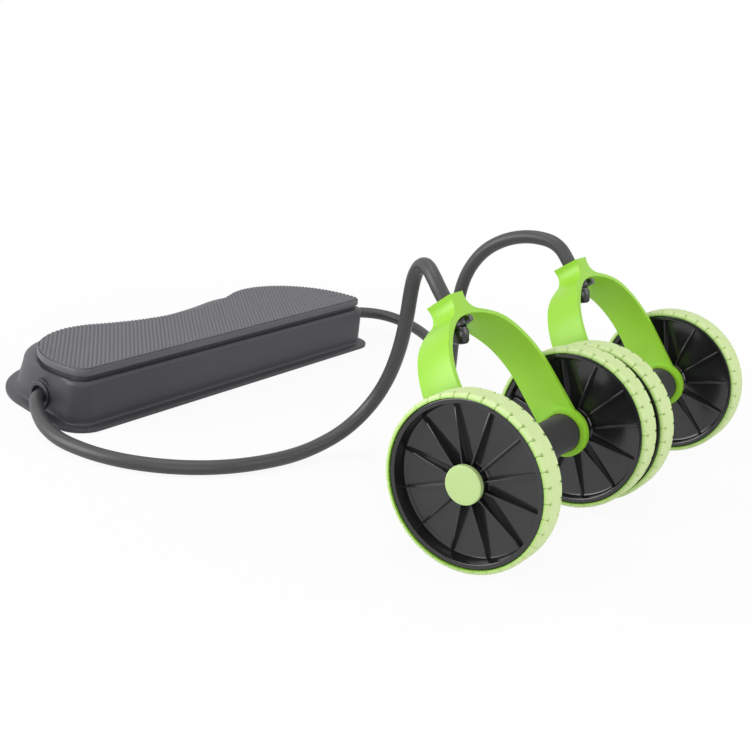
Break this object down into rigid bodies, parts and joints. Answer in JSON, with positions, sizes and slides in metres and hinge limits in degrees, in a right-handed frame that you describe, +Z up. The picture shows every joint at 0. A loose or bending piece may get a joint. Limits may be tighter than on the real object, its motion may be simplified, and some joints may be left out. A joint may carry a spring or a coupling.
{
  "type": "ab wheel roller set",
  "caption": "Foot base with a ribbed mat and a pair of wheeled hand rollers, joined to it by elastic tubes, for floor ab and arm exercise.",
  "frame": {"origin": "middle of the foot base's flat underside, on the floor", "axes": "+X along the rollers' axles towards the right roller, +Y from the rollers towards the base, +Z up"},
  "size_m": [0.5314, 0.5915, 0.1917],
  "materials": {
    "base_plastic": "moulded, fine satin texture",
    "mat_rubber": "moulded ribs",
    "steel": "zinc plated",
    "bush_plastic": "moulded",
    "tube_rubber": "extruded, soft sheen",
    "core_plastic": "moulded",
    "grip_foam": "soft matte",
    "yoke_green": "moulded, semi-gloss",
    "stopper_black": "moulded, glossy",
    "wheel_black": "moulded, glossy",
    "tyre_lime": "moulded tread",
    "cap_green": "moulded, semi-gloss"
  },
  "bodies": {
    "base": {"base_shell": "base_plastic", "base_cover": "base_plastic", "foot_platform": "base_plastic", "foot_mat": "mat_rubber", "cover_screws": "steel", "tube_bush_left": "bush_plastic", "tube_bush_right": "bush_plastic", "tube_plug_left": "bush_plastic", "tube_plug_right": "bush_plastic", "left_tube_run": "tube_rubber", "right_tube_run": "tube_rubber"},
    "left_roller": {"left_axle": "steel", "left_grip_core": "core_plastic", "left_grip_sleeve": "grip_foam", "left_washers": "steel", "left_lock_nuts": "steel", "left_tube_lead": "tube_rubber"},
    "left_yoke_arm": {"left_yoke": "yoke_green", "left_tube_stopper": "stopper_black", "left_stopper_clip": "stopper_black"},
    "right_roller": {"right_axle": "steel", "right_grip_core": "core_plastic", "right_grip_sleeve": "grip_foam", "right_washers": "steel", "right_lock_nuts": "steel", "right_tube_lead": "tube_rubber"},
    "right_yoke_arm": {"right_yoke": "yoke_green", "right_tube_stopper": "stopper_black", "right_stopper_clip": "stopper_black"},
    "left_outer_wheel": {"left_outer_rim": "wheel_black", "left_outer_tyre": "tyre_lime", "left_outer_hub_cap": "cap_green", "left_outer_bush": "core_plastic"},
    "left_inner_wheel": {"left_inner_rim": "wheel_black", "left_inner_tyre": "tyre_lime", "left_inner_hub_cap": "cap_green", "left_inner_bush": "core_plastic"},
    "right_inner_wheel": {"right_inner_rim": "wheel_black", "right_inner_tyre": "tyre_lime", "right_inner_hub_cap": "cap_green", "right_inner_bush": "core_plastic"},
    "right_outer_wheel": {"right_outer_rim": "wheel_black", "right_outer_tyre": "tyre_lime", "right_outer_hub_cap": "cap_green", "right_outer_bush": "core_plastic"}
  },
  "joints": [
    {"name": "left_roll", "type": "slide", "parent": "base", "child": "left_roller", "axis": [0, -1, 0], "range_m": [-0.06, 0.3], "deforming": ["left_tube_run", "left_tube_lead"]},
    {"name": "left_yoke_tilt", "type": "hinge", "parent": "left_roller", "child": "left_yoke_arm", "pos_m": [-0.1106, -0.441, 0.065], "axis": [-1, 0, 0], "range_deg": [-41, 54], "deforming": ["left_tube_lead"]},
    {"name": "left_outer_spin", "type": "hinge", "parent": "left_roller", "child": "left_outer_wheel", "pos_m": [-0.1106, -0.441, 0.065], "axis": [1, 0, 0], "continuous": true},
    {"name": "left_inner_spin", "type": "hinge", "parent": "left_roller", "child": "left_inner_wheel", "pos_m": [-0.1106, -0.441, 0.065], "axis": [1, 0, 0], "continuous": true},
    {"name": "right_roll", "type": "slide", "parent": "base", "child": "right_roller", "axis": [0, -1, 0], "range_m": [-0.06, 0.3], "deforming": ["right_tube_run", "right_tube_lead"]},
    {"name": "right_yoke_tilt", "type": "hinge", "parent": "right_roller", "child": "right_yoke_arm", "pos_m": [0.0818, -0.4455, 0.065], "axis": [-1, 0, 0], "range_deg": [-37, 58], "deforming": ["right_tube_lead"]},
    {"name": "right_outer_spin", "type": "hinge", "parent": "right_roller", "child": "right_outer_wheel", "pos_m": [0.0818, -0.4455, 0.065], "axis": [1, 0, 0], "continuous": true},
    {"name": "right_inner_spin", "type": "hinge", "parent": "right_roller", "child": "right_inner_wheel", "pos_m": [0.0818, -0.4455, 0.065], "axis": [1, 0, 0], "continuous": true}
  ]
}
